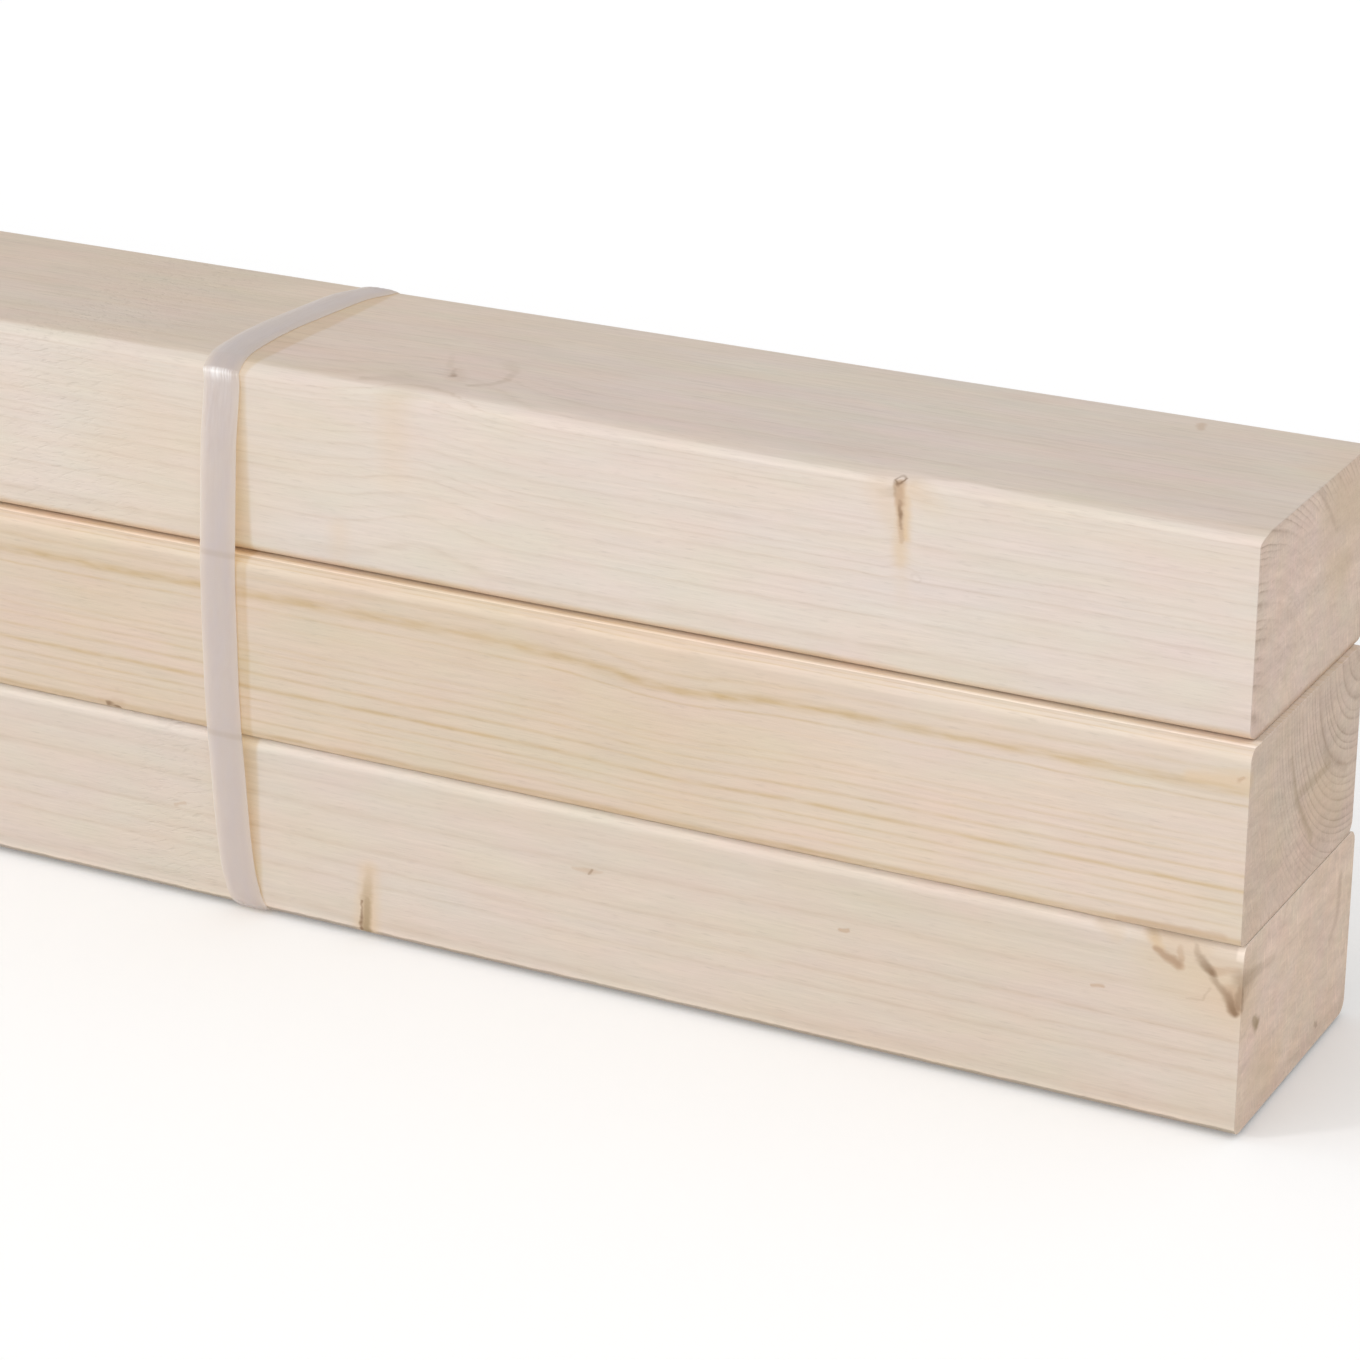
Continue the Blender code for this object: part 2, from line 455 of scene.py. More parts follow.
class StrapSettings(bpy.types.PropertyGroup):
    """The straps' size and colour."""

    width: measure(
        "Width", "Width of the band", STRAP_BOX[1].x - STRAP_BOX[0].x - 0.5 * MM, min=4 * MM
    )
    thickness: measure("Thickness", "Thickness of the band", 0.55 * MM, min=0.2 * MM)
    clearance: measure(
        "Clearance", "Gap between the band and the wood that it is drawn over", 0.05 * MM, min=0.0
    )
    lets_through: amount(
        "Lets through", "Share of the lamps' light that each side of the band lets through", 0.88,
        max=1.0,
    )
    milky: paint("Milky", "Colour of the undyed plastic", 0.483, 0.424, 0.388)
    edge_glow: paint(
        "Edge glow", "Warm colour where the light that has come through the wood leaves by the edge",
        0.525, 0.465, 0.410,
    )
    # Painted shade: the dark gaps between the battens, shown faintly on the plastic
    shows_through: amount(
        "Shows through", "How much of the gaps between the battens shows through the plastic", 0.35,
        max=1.0, subtype="FACTOR",
    )
    behind: paint("Behind", "Colour of the gaps that show through", 0.38, 0.30, 0.24)
    stressed: paint(
        "Stressed", "Colour where a sharp bend has whitened the plastic", 0.76, 0.74, 0.735
    )


# Metres: how far off the lamps hang, how far the floor is below the straps, and the camera's reach
LAMP_DISTANCE = 3.0
FLOOR_GAP = 0.0001
CAMERA_REACH = (0.05, 200.0)
# Millimetres
SENSOR_WIDTH = 36.0

LAMP_SIDE = "How far it stands to the left of straight in front"
LAMP_HEIGHT = "How high it stands above the floor's level"
LAMP_SOFTNESS = "Angle that it covers, seen from the bundle"


class StageSettings(bpy.types.PropertyGroup):
    """Floor, light and camera."""

    floor_size: measure("Floor", "Side of the floor", 60.0)
    floor_colour: paint("Floor colour", "Pale studio floor", 0.90, 0.90, 0.90)
    floor_glow: amount(
        "Floor glow", "Light that the floor gives off by itself, as a lit table does", 0.10
    )
    sky: amount("Fill", "Strength of the white light from all round", 0.76)
    key_strength: amount(
        "Key", "Strength of the small lamp at the front left that draws the edges", 0.9
    )
    key_side: angle("Key side", LAMP_SIDE, 48)
    key_height: angle("Key height", LAMP_HEIGHT, 16)
    key_softness: angle("Key softness", LAMP_SOFTNESS, 8)
    broad_strength: amount("Broad lamp", "Strength of the broad lamp at the front left", 0.96)
    broad_side: angle("Broad lamp side", LAMP_SIDE, 50)
    broad_height: angle("Broad lamp height", LAMP_HEIGHT, 32)
    broad_softness: angle("Broad lamp softness", LAMP_SOFTNESS, 80)
    side_strength: amount("Side lamp", "Strength of the weak lamp at the front right", 0.12)
    side_side: angle("Side lamp side", LAMP_SIDE, -52)
    side_height: angle("Side lamp height", LAMP_HEIGHT, 26)
    side_softness: angle("Side lamp softness", LAMP_SOFTNESS, 40)
    camera_place: bpy.props.FloatVectorProperty(
        name="Camera place",
        description="Where the camera stands",
        default=(1.3067, -0.7776, 0.4143),
        size=3,
        subtype="TRANSLATION",
        unit="LENGTH",
    )
    camera_side: angle(
        "Camera side", "How far the camera looks to the left of straight at the front", 27.481
    )
    camera_down: angle("Camera down", "How far the camera looks down", 21.755)
    camera_roll: angle("Camera roll", "How far the camera is tilted to the left", 0.158)
    lens: amount("Lens", "Focal length in millimetres, on a 36 mm wide sensor", 110.73, 1.0)


# ---------------------------------------------------------------------------------------------
# Shapes


def smooth(t):
    """0 to 1 with soft ends."""
    t = np.clip(t, 0.0, 1.0)
    return t * t * (3.0 - 2.0 * t)


def drift(row, where):
    """A slow random value between -1 and 1 that depends on where alone."""
    return noise.noise(Vector((where, 17.3 * row, 4.1)))


def quarter(centre, reach, start, steps):
    """Points round a quarter of an ellipse, from the angle start on."""
    turn = start + np.linspace(0.0, math.pi / 2, steps + 1)
    return centre + np.stack([np.cos(turn), np.sin(turn)], 1) * reach


def eased(on_top, on_front, batten, height, settings):
    """The planed edge between the front and the top, from the front up.

    It leaves the front smoothly and meets the top in a faint crease, where the run-in ends.
    """
    turn = np.linspace(0.0, 1.0, settings.arris_steps + 1)[:, None]
    run = max(batten.run_in[0] - on_top, 1.0)
    drop = run * batten.run_in[1]
    crease = np.array([on_top, height - drop])
    start = np.array([0.0, height - on_front])
    middle = np.array([0.0, crease[1] - on_top * batten.arris[2]])
    edge = start * (1 - turn) ** 2 + middle * 2 * turn * (1 - turn) + crease * turn ** 2
    share = np.linspace(0.0, 1.0, RUN_IN_STEPS + 1)[1:]
    fading = np.column_stack([on_top + run * share, height - drop * (1 - share) ** 1.3])
    return np.concatenate([edge, fading])


def between(a, b, count):
    """The inner points of a straight line from a to b, cut into count lengths."""
    share = np.linspace(0.0, 1.0, count + 1)[1:-1, None]
    return np.asarray(a) * (1 - share) + np.asarray(b) * share


def arris_reaches(batten, along, settings):
    """Reach of the four arrises in depth and height, mm: front low, back low, back high, front high."""
    reaches = []
    for corner in range(3):
        stray = 1 + 0.12 * drift(batten.seed + corner, along / 70)
        reach = [settings.arris / MM] * 2 if corner else batten.low_arris
        reaches.append(np.array(reach) * stray)
    stray = 1 + 0.05 * drift(batten.seed + 9, along / 41) + 0.04 * drift(batten.seed + 12, along / 9)
    high = np.array(batten.arris[:2]) * stray
    for swell in batten.swells:
        nearness = math.exp(-(((along - swell.along) / swell.reach) ** 2))
        high[0] += swell.on_top * nearness
    reaches.append(high)
    return reaches


def section(batten, along, size, settings):
    """The outline of a batten at one station, seen from the right-hand end.

    Each row holds a point's depth and height in mm, and how much it belongs to an arris.
    """
    width, height = size
    low_front, low_back, high_back, high_front = arris_reaches(batten, along, settings)
    step = settings.face_step / MM
    wide, tall = math.ceil(width / step), math.ceil(height / step)
    quarters = (
        (low_front, low_front, math.pi),
        (np.array([width - low_back[0], low_back[1]]), low_back, 1.5 * math.pi),
        (np.array([width - high_back[0], height - high_back[1]]), high_back, 0.0),
    )
    corners = [quarter(*q, settings.arris_steps) for q in quarters]
    corners.append(eased(*high_front, batten, height, settings)[::-1])
    outline = []
    for k, count in enumerate((wide, tall, wide, tall)):
        corner = corners[k]
        share = np.linspace(0.0, 1.0, settings.arris_steps + 1)
        bulge = np.sin(share * math.pi)
        if k == 3:
            bulge = np.minimum(RUN_IN_BULGE + smooth(share / 0.12), smooth((1 - share) / 0.5))
            run_in = np.linspace(0.0, RUN_IN_BULGE, RUN_IN_STEPS + 1)[:-1]
            bulge = np.concatenate([run_in, bulge])
        outline.append(np.column_stack([corner, bulge]))
        flat = between(corner[-1], corners[(k + 1) % 4][0], count)
        outline.append(np.column_stack([flat, np.zeros(len(flat))]))
    outline = np.concatenate(outline)
    outline[:, 1] += (outline[:, 1] / height * 2 - 1) * settings.swelling / MM
    return outline


def skin(rings, closed):
    """Quads between rings of equally many points. closed joins the last ring to the first."""
    count, around = rings
    faces = []
    for i in range(count if closed else count - 1):
        a, b = i * around, (i + 1) % count * around
        for j in range(around):
            k = (j + 1) % around
            faces.append((a + j, a + k, b + k, b + j))
    return faces


def end_rings(outline, size, insets):
    """A section drawn in towards its own middle line, by each share of insets."""
    half = size[1] / 2
    middle = np.stack(
        [np.clip(outline[:, 0], half, size[0] - half), np.full(len(outline), half)], 1
    )
    return [outline * (1 - t) + middle * t for t in insets]


def scattered_knots(batten, size, length):
    """Knots from SCATTERED_FROM on, in whorls, and small ones between."""
    chance = random.Random(batten.seed)
    pith = Vector((0.0, *batten.pith))
    knots = []

    def grow(along, radius, tilt, stain, rim, heart, pull):
        place = Vector((
            along,
            chance.uniform(0.05, 0.95) * size[0],
            chance.uniform(0.05, 0.95) * size[1],
        ))
        out = Vector((0.0, place.y - pith.y, place.z - pith.z))
        heading = Vector((tilt * out.length, out.y, out.z)).normalized()
        knots.append(Knot(*place, tuple(heading), radius, out.length, pull, stain, rim, heart))

    whorl = SCATTERED_FROM + chance.uniform(30, 120)
    while whorl < length - 60:
        for _ in range(chance.choice((1, 2, 2, 3))):
            dead = chance.random() < 0.45
            grow(
                whorl + chance.uniform(-9, 9),
                chance.uniform(2.2, 5.0),
                chance.uniform(-0.2, 0.1),
                stain=chance.uniform(0.6, 0.9),
                rim=0.85 if dead else chance.uniform(0.1, 0.35),
                heart=chance.uniform(0.7, 0.95),
                pull=chance.uniform(1.5, 3.0),
            )
        whorl += chance.uniform(150, 330)
    for _ in range(9):
        grow(
            chance.uniform(SCATTERED_FROM, length - 20),
            chance.uniform(0.5, 1.0),
            0.0,
            stain=chance.uniform(0.3, 0.7),
            rim=chance.uniform(0.1, 0.5),
            heart=chance.uniform(0.5, 0.9),
            pull=chance.uniform(0.2, 0.6),
        )
    return knots


def knot_fields(points, knots):
    """For each point, where it lies beside its nearest knot, and that knot's looks.

    The first field holds the two distances from the knot's axis in knot radii, and how far out
    along the knot the point lies in shares of its taper, so that a knot is wherever the first two
    together are less than one plus the third. It changes evenly from point to point, so that a
    shader can draw knots much finer than the mesh. The second holds the knot's stain, rim and heart,
    and the third its pull, all fading to nothing half-way to the next knot.
    """
    clearances, fields = [], []
    for knot in knots:
        heading = Vector(knot.heading).normalized()
        across = heading.orthogonal().normalized()
        other = heading.cross(across)
        offset = points - np.array([knot.along, knot.depth, knot.height])
        beside = np.stack([offset @ np.array(across), offset @ np.array(other)], 1) / knot.radius
        out = offset @ np.array(heading) / knot.taper
        distance = np.hypot(*beside.T) * knot.radius
        behind = np.maximum(0.0, -1.0 - out) * knot.taper
        reach = max(6.5 * knot.radius, 11.0)
        clearances.append(reach - np.hypot(distance, behind))
        fields.append(np.column_stack([beside, out]))
    clearances = np.stack(clearances)
    ranking = np.argsort(-clearances, axis=0)
    nearest = ranking[0]
    picked = np.arange(len(points))
    clear = clearances[nearest, picked]
    if len(knots) > 1:
        clear = np.minimum(clear, clear - clearances[ranking[1], picked])
    sure = smooth(clear / 5.0)[:, None]
    looks = np.array([(knot.stain, knot.rim, knot.heart, knot.pull) for knot in knots])
    looks = looks[nearest] * sure
    return np.stack(fields)[nearest, picked], looks[:, :3], looks[:, 3]


def store(mesh, title, values):
    """Keeps a number or a triple for each vertex on the mesh, for its finish to read."""
    kind, slot = ("FLOAT", "value") if values.ndim == 1 else ("FLOAT_VECTOR", "vector")
    field = mesh.attributes.new(title, kind, "POINT")
    field.data.foreach_set(slot, values.astype(np.float32).ravel())


def close_up(mesh, crease, weld=False):
    """Turns the faces outwards and shades them smooth, apart from edges sharper than crease."""
    work = bmesh.new()
    work.from_mesh(mesh)
    if weld:
        bmesh.ops.remove_doubles(work, verts=work.verts, dist=1e-6)
    bmesh.ops.recalc_face_normals(work, faces=work.faces)
    work.to_mesh(mesh)
    work.free()
    mesh.shade_smooth()
    mesh.set_sharp_from_angle(angle=math.radians(crease))


def unroll(steps, outline):
    """A map that lays each third of the batten's skin flat, one above the other, and its ends above."""
    around = len(outline)
    lengths = np.linalg.norm(np.roll(outline, -1, 0) - outline, axis=1)
    run = np.concatenate([[0.0], np.cumsum(lengths)]) / lengths.sum()
    row, margin = MAP_ROW, MAP_MARGIN
    side = []
    for i in range(THIRDS * steps):
        third, left = divmod(i, steps)
        u0, u1 = (margin + (1 - 2 * margin) * (left + k) / steps for k in (0, 1))
        for j in range(around):
            v0, v1 = (row * third + margin + (row - 2 * margin) * run[j + k] for k in (0, 1))
            side += [(u0, v0), (u0, v1), (u1, v1), (u1, v0)]
    return side, (row - 2 * margin) / lengths.sum()


def batten_mesh(name, batten, settings):
    """One batten's mesh, in the row frame."""
    low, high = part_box(name)
    length, width, height = ((high - low) / MM)[:]
    size = (width, height)
    steps = settings.stations
    end_break = settings.end_break / MM
    places = np.linspace(end_break, length - end_break, THIRDS * steps + 1)
    outlines = [section(batten, place, size, settings) for place in places]
    around = len(outlines[0])

    # The ends: the same outline, worn off a little, then drawn in to the middle
    worn = 1 - 2 * end_break / np.array(size)
    middle = np.array(size) / 2
    caps = []
    for outline in (outlines[0], outlines[-1]):
        shrunk = middle + (outline[:, :2] - middle) * worn
        drawn_in = end_rings(shrunk, size, END_INSETS)
        caps.append([np.column_stack([ring, np.zeros(around)]) for ring in drawn_in])
    rings = caps[0][::-1] + outlines + caps[1]
    near = len(END_INSETS)
    alongs = np.concatenate([np.zeros(near), places, np.full(near, length)])
    points = np.concatenate(
        [np.column_stack([np.full(around, a), ring]) for a, ring in zip(alongs, rings)]
    )
    points, edge = points[:, :3], points[:, 3]
    # Marks are measured from the right-hand end, so along runs towards -X
    world = np.column_stack(
        [high.x - points[:, 0] * MM, low.y + points[:, 1] * MM, low.z + points[:, 2] * MM]
    )
    mesh = bpy.data.meshes.new(name + "_wood")
    mesh.from_pydata(world, [], skin((len(rings), around), closed=False))

    knots = list(batten.knots) + scattered_knots(batten, size, length)
    beside, looks, pull = knot_fields(points, knots)
    store(mesh, "knot", beside)
    store(mesh, "knot_looks", looks)
    store(mesh, "knot_pull", pull)
    store(mesh, "arris", edge)

    side, scale = unroll(steps, outlines[0][:, :2])
    corners = [None] * (len(mesh.polygons) * 4)
    first_side = near * around
    for face, polygon in enumerate(mesh.polygons):
        if first_side <= face < first_side + THIRDS * steps * around:
            start = (face - first_side) * 4
            corners[face * 4:face * 4 + 4] = side[start:start + 4]
        else:
            left, foot = MAP_ENDS[0 if face < first_side else 1]
            for k, vertex in enumerate(polygon.vertices):
                depth, rise = points[vertex][1:]
                corners[face * 4 + k] = (left + depth * scale, foot + rise * scale)
    layer = mesh.uv_layers.new(name="OFBake")
    layer.data.foreach_set("uv", np.array(corners, np.float32).ravel())

    close_up(mesh, BATTEN_CREASE, weld=True)
    return mesh


# ---------------------------------------------------------------------------------------------
# Finishes


class Finish:
    """The nodes of a material, or of the light all round: each method adds one and returns its output."""

    def __init__(self, made):
        self.made = made
        made.use_nodes = True
        self.tree = made.node_tree
        self.tree.nodes.clear()

    def node(self, kind, inputs=(), **settings):
        made = self.tree.nodes.new("ShaderNode" + kind)
        for key, value in settings.items():
            setattr(made, key, value)
        for key, value in dict(inputs).items():
            self.plug(made.inputs[key], value)
        return made

    def plug(self, socket, value):
        if isinstance(value, bpy.types.NodeSocket):
            self.tree.links.new(value, socket)
        else:
            socket.default_value = value

    def math(self, operation, *values, clamp=False):
        made = self.node("Math", enumerate(values), operation=operation, use_clamp=clamp)
        return made.outputs[0]

    times = partialmethod(math, "MULTIPLY")
    plus = partialmethod(math, "ADD")
    minus = partialmethod(math, "SUBTRACT")
    times_plus = partialmethod(math, "MULTIPLY_ADD")
    most = partialmethod(math, "MAXIMUM")
    unsigned = partialmethod(math, "ABSOLUTE")

    def scaled(self, value, factor):
        made = self.node("VectorMath", {0: value, "Scale": factor}, operation="SCALE")
        return made.outputs[0]

    def vector(self, operation, *values):
        made = self.node("VectorMath", enumerate(values), operation=operation)
        return made.outputs["Value" if operation in ("LENGTH", "DOT_PRODUCT") else "Vector"]

    def split(self, value):
        return self.node("SeparateXYZ", {0: value}).outputs

    def join(self, *values):
        return self.node("CombineXYZ", enumerate(values)).outputs[0]

    def noise(self, place, scale=1.0, detail=2.0, roughness=0.5, colour=False):
        inputs = {"Vector": place, "Scale": scale, "Detail": detail, "Roughness": roughness}
        made = self.node("TexNoise", inputs)
        return made.outputs[1 if colour else 0]

    def noise_1d(self, where, detail=0.0):
        made = self.node("TexNoise", noise_dimensions="1D")
        self.plug(made.inputs["W"], where)
        made.inputs["Scale"].default_value = 1.0
        made.inputs["Detail"].default_value = detail
        return made.outputs[0]

    def remap(self, value, low, high, to_low=0.0, to_high=1.0, soft=False):
        made = self.node(
            "MapRange",
            {"Value": value, "From Min": low, "From Max": high, "To Min": to_low, "To Max": to_high},
            interpolation_type="SMOOTHSTEP" if soft else "LINEAR",
        )
        return made.outputs[0]

    def fade(self, value, full, gone, strength=1.0):
        """strength up to full, then softly less until there is nothing at gone."""
        return self.remap(value, full, gone, strength, 0.0, soft=True)

    def ramp(self, value, stops):
        made = self.node("ValToRGB", {0: value})
        elements = made.color_ramp.elements
        while len(elements) < len(stops):
            elements.new(0.5)
        for element, (place, level) in zip(elements, stops):
            element.position = place
            element.color = (level, level, level, 1.0)
        return made.outputs[0]

    def blend(self, share, first, second, mode="MIX"):
        made = self.node("Mix", data_type="RGBA", blend_type=mode)
        for index, value in ((0, share), (6, first), (7, second)):
            if not isinstance(value, (float, bpy.types.NodeSocket)):
                value = (*value, 1.0)
            self.plug(made.inputs[index], value)
        return made.outputs[2]

    def attribute(self, name):
        return self.node("Attribute", attribute_name=name)


class Wood(Finish):
    """Spruce: a finish that works from its own place in the batten."""

    def __init__(self, node, batten, settings):
        super().__init__(bpy.data.materials.new(node.replace("batten", "spruce")))
        self.batten = batten
        self.settings = settings
        low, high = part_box(node)
        self.right = high.x
        self.size = (high - low) / MM
        place = self.node("TexCoord").outputs["Object"]
        # Millimetres from the right-hand end, the front face and the underside
        corner = Vector((high.x, -low.y, -low.z)) / MM
        self.place = self.vector("MULTIPLY_ADD", place, (-1 / MM, 1 / MM, 1 / MM), tuple(corner))
        self.seeded = self.vector("ADD", self.place, (137.0 * batten.seed, 0.0, 0.0))
        self.along, self.depth, self.height = self.split(self.place)

    def edge(self, across, whole):
        """Millimetres to the nearer of two opposite edges."""
        return self.math("MINIMUM", across, self.minus(float(whole), across))

    def fibres(self, lengthways, across, detail=2.0, roughness=0.5, colour=False):
        """Noise drawn out along the grain, its features about this many mm long and wide."""
        drawn = self.vector("MULTIPLY", self.seeded, (1 / lengthways, 1 / across, 1 / across))
        return self.noise(drawn, 1.0, detail, roughness, colour)

    def sway(self, lengthways, across, reach, detail=1.0):
        """The same noise, as a value that swings by about reach either way."""
        drawn = self.fibres(lengthways, across, detail)
        return self.times_plus(drawn, 4 * reach, -2 * reach)

    def distance_from_pith(self):
        """Millimetres from the pith, as the rings run: strayed a little, and dragged out by knots."""
        wander = self.batten.wander
        stray = self.vector("SUBTRACT", self.fibres(260, 60, 2.0, colour=True), (0.5, 0.5, 0.5))
        out = self.vector("MULTIPLY_ADD", stray, (0.0, 5 * wander, 5 * wander), self.place)
        out = self.vector("ADD", out, (0.0, -self.batten.pith[0], -self.batten.pith[1]))
        out = self.vector("MULTIPLY", out, (0.0, 1.0, 1.0))
        radius = self.vector("LENGTH", out)
        radius = self.plus(radius, self.sway(34, 9, 0.20 * wander, 2.0))
        radius = self.plus(radius, self.sway(8, 2.4, 0.13 * wander))
        near = self.bell(self.times(self.knot_radii, 1 / 2.6))
        return self.minus(radius, self.times(near, self.knot_pull))

    def bell(self, value):
        """1 at nought, falling away on both sides."""
        return self.math("POWER", math.e, self.times(self.times(value, value), -1.0))

    def rings(self, radius):
        """How much late wood shows: early wood darkens slowly into a thin line, then starts again."""
        batten = self.batten
        power = 1 + batten.narrowing
        rate = 1 / (batten.ring * 50 ** batten.narrowing * power)
        years = self.times(self.math("POWER", radius, power), rate)
        uneven = self.noise_1d(self.times_plus(years, 0.43, 7.0 * batten.seed))
        years = self.times_plus(uneven, 1.3, years)
        late = self.ramp(self.math("FRACT", years), LATE_WOOD)
        strong = self.node("TexWhiteNoise", {"W": self.math("FLOOR", years)}, noise_dimensions="1D")
        strong = self.remap(strong.outputs["Value"], 0.0, 1.0, 0.45, 1.0)
        lines = self.times(late, strong)
        if batten.bands:
            even = self.remap(radius, batten.bands_from - 0.8, batten.bands_from, 1, 0)
            lines = self.times(lines, even)
        for band in batten.bands:
            off = self.times(self.minus(radius, band.radius), 1 / band.half)
            lines = self.most(lines, self.times(self.bell(off), band.strength))
        # Late wood comes and goes along the batten, in long stretches and in short dashes
        patchy = self.remap(self.fibres(60, 14), 0.3, 0.7, 0.55, 1.0)
        dashes = self.remap(self.fibres(9, 1.5, 1.0), 0.30, 0.62, 0.40, 1.0)
        return self.times(lines, self.times(patchy, dashes))

    def find_knots(self):
        """Reads where the surface lies beside its nearest knot, in knot radii, and that knot's looks."""
        beside = self.split(self.attribute("knot").outputs["Vector"])
        flat = self.join(beside[0], beside[1], 0.0)
        thickness = self.most(self.plus(beside[2], 1.0), 0.02)
        radii = self.math("DIVIDE", self.vector("LENGTH", flat), thickness)
        self.knot_radii = self.plus(radii, self.sway(3.0, 1.2, 0.12))
        self.knot_pull = self.attribute("knot_pull").outputs["Fac"]
        self.knot_looks = self.split(self.attribute("knot_looks").outputs["Vector"])

    def paint_knots(self, wood):
        """A stained surround, brown wood with its own rings, and a bark rim."""
        stain, rim, heart = self.knot_looks
        radii = self.knot_radii
        shown = self.times(self.fade(radii, 0.9, 3.2, 0.6), stain)
        wood = self.blend(shown, wood, self.settings.knot_glow)
        shown = self.times(self.fade(radii, 0.65, 1.15), heart)
        years = self.math("FRACT", self.times(radii, 4.5))
        inner = self.blend(self.times(years, 0.45), self.settings.knot_heart, self.settings.knot_bark)
        wood = self.blend(shown, wood, inner)
        shown = self.unsigned(self.minus(radii, 1.0))
        shown = self.times(self.fade(shown, 0.02, 0.30, 0.85), rim)
        return self.blend(shown, wood, self.settings.knot_bark)

    def strokes(self, kind, sharp, fading):
        """How strongly one kind of mark shows: full up to sharp, gone at fading half widths."""
        shown = 0.0
        for mark in self.batten.marks[kind]:
            start = Vector(mark.start)
            run = Vector(mark.end) - start
            offset = self.vector("SUBTRACT", self.shaken, tuple(start))
            share = self.vector("DOT_PRODUCT", offset, tuple(run / run.length_squared))
            share = self.plus(share, 0.0, clamp=True)
            reached = self.scaled(tuple(run), share)
            away = self.vector("LENGTH", self.vector("SUBTRACT", offset, reached))
            half = self.times_plus(share, mark.halves[1] - mark.halves[0], mark.halves[0])
            ratio = self.math("DIVIDE", away, half)
            first, last = mark.strengths
            strength = self.times_plus(share, last - first, first)
            there = self.times(self.fade(ratio, sharp, fading), strength)
            shown = self.most(there, shown)
        return shown

    def paint_marks(self, wood):
        """The batten's own marks: resin stains, small spikes of knot wood, bark and bent grain."""
        shake = self.vector("SUBTRACT", self.fibres(2.6, 1.6, 1.0, colour=True), (0.5, 0.5, 0.5))
        self.shaken = self.vector("MULTIPLY_ADD", shake, (1.1, 1.1, 1.1), self.place)
        wood = self.blend(self.strokes("resin", 0.0, 1.7), wood, self.settings.knot_glow)
        if "olive" in self.batten.marks:
            wood = self.blend(self.strokes("olive", 0.3, 1.45), wood, self.settings.knot_olive)
        wood = self.blend(self.strokes("heart", 0.3, 1.4), wood, self.settings.knot_heart)
        bark = self.strokes("bark", 0.25, 1.6)
        for eye in self.batten.eyes:
            offset = self.vector("SUBTRACT", self.shaken, tuple(eye.centre))
            along, depth, height = self.split(offset)
            across = self.vector("LENGTH", self.join(depth, height, 0.0))
            reaches = (1 / eye.reach[0], 1 / eye.reach[1], 0.0)
            reach = self.vector("MULTIPLY", self.join(along, across, 0.0), reaches)
            reach = self.vector("LENGTH", reach)
            off = self.unsigned(self.minus(reach, 1.0))
            soft = eye.half / eye.reach[1]
            there = self.fade(off, 0.0, 1.6 * soft, eye.strength)
            broken = self.remap(self.fibres(6, 4, 1.0), 0.36, 0.56, 0.15, 1.0)
            bark = self.most(self.times(there, broken), bark)
        return self.blend(bark, wood, self.settings.knot_bark)

    def torn_grain(self):
        """Small slanting flecks where the planer lifted the grain, 0 elsewhere."""
        nearness = 0.12
        for along, reach in self.batten.torn:
            off = self.times(self.minus(self.along, float(along)), 1 / reach)
            nearness = self.plus(self.bell(off), nearness)
        lift = self.times_plus(self.along, 0.27, self.height)
        lift = self.join(self.times(self.along, 1 / 3.6), self.times(self.depth, 1 / 1.6), lift)
        flecks = self.noise(lift, 1.0, 2.0, 0.55)
        return self.times(self.remap(flecks, 0.53, 0.72), nearness)

    def strap_shadow(self):
        """1 in a painted strap shadow, a band that shows beside each strap's right-hand edge and runs on
        under it, and 0 elsewhere.
        """
        shown = 0.0
        for node in ("strap_right", "strap_left"):
            edge = (self.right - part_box(node)[1].x) / MM
            off = self.unsigned(self.minus(self.along, edge + 3.2))
            off = self.plus(off, self.sway(30, 9, 0.2))
            shown = self.most(self.fade(off, 3.7, 4.9), shown)
        return shown

    def tinted(self, colour):
        """The colour with soft patches a little pinker, greener or yellower."""
        rosy = self.plus(self.sway(22, 8, 0.022, 2.0), self.sway(120, 30, 0.014))
        yellow = self.plus(self.sway(34, 9, 0.034, 2.0), self.sway(150, 40, 0.025))
        tint = self.join(
            self.plus(rosy, 1.0),
            self.times_plus(rosy, -0.6, 1.0),
            self.plus(yellow, 1.0),
        )
        return self.blend(1.0, colour, tint, "MULTIPLY")

    def find_faces(self):
        """Reads how much the surface is sawn end, long side, eased edge and flat top."""
        normal = self.split(self.node("NewGeometry").outputs["Normal"])
        self.end = self.remap(self.unsigned(normal[0]), 0.6, 0.9)
        self.side = self.minus(1.0, self.end)
        self.arris = self.attribute("arris").outputs["Fac"]
        upward = self.remap(normal[2], 0.80, 0.97)
        self.top = self.minus(upward, self.arris, clamp=True)

    def on_each(self, planed, sawn):
        """One value for the long sides, another for the ends."""
        return self.plus(self.times(planed, self.side), self.times(sawn, self.end))

    def planed_shade(self, torn):
        """How light the long sides are: fibres, flecks, soft mottling, torn grain and a painted highlight
        on the eased edges.
        """
        fine = self.fibres(20, 0.75, 3.0, 0.62)
        fleck = self.remap(self.fibres(4.5, 0.5, 1.0), 0.60, 0.80, 0.0, 0.10)
        shade = self.minus(self.times_plus(fine, 0.22, 0.89), fleck)
        shade = self.plus(shade, self.sway(15, 3.5, 0.013, 2.0))
        shade = self.plus(shade, self.sway(60, 22, 0.014, 2.0))
        shade = self.times_plus(torn, -0.045, shade)
        shade = self.times_plus(self.sway(34, 12, 0.030, 2.0), self.top, shade)
        # Painted highlight on the eased edges
        return self.times(shade, self.times_plus(self.arris, self.batten.glow, 1.0))

    def speckle(self, in_depth, in_height, roughness):
        """Noise on the sawn ends, with so many features to the millimetre each way."""
        drawn = self.vector("MULTIPLY", self.seeded, (0.0, in_depth, in_height))
        return self.noise(drawn, 1.0, 2.0, roughness)

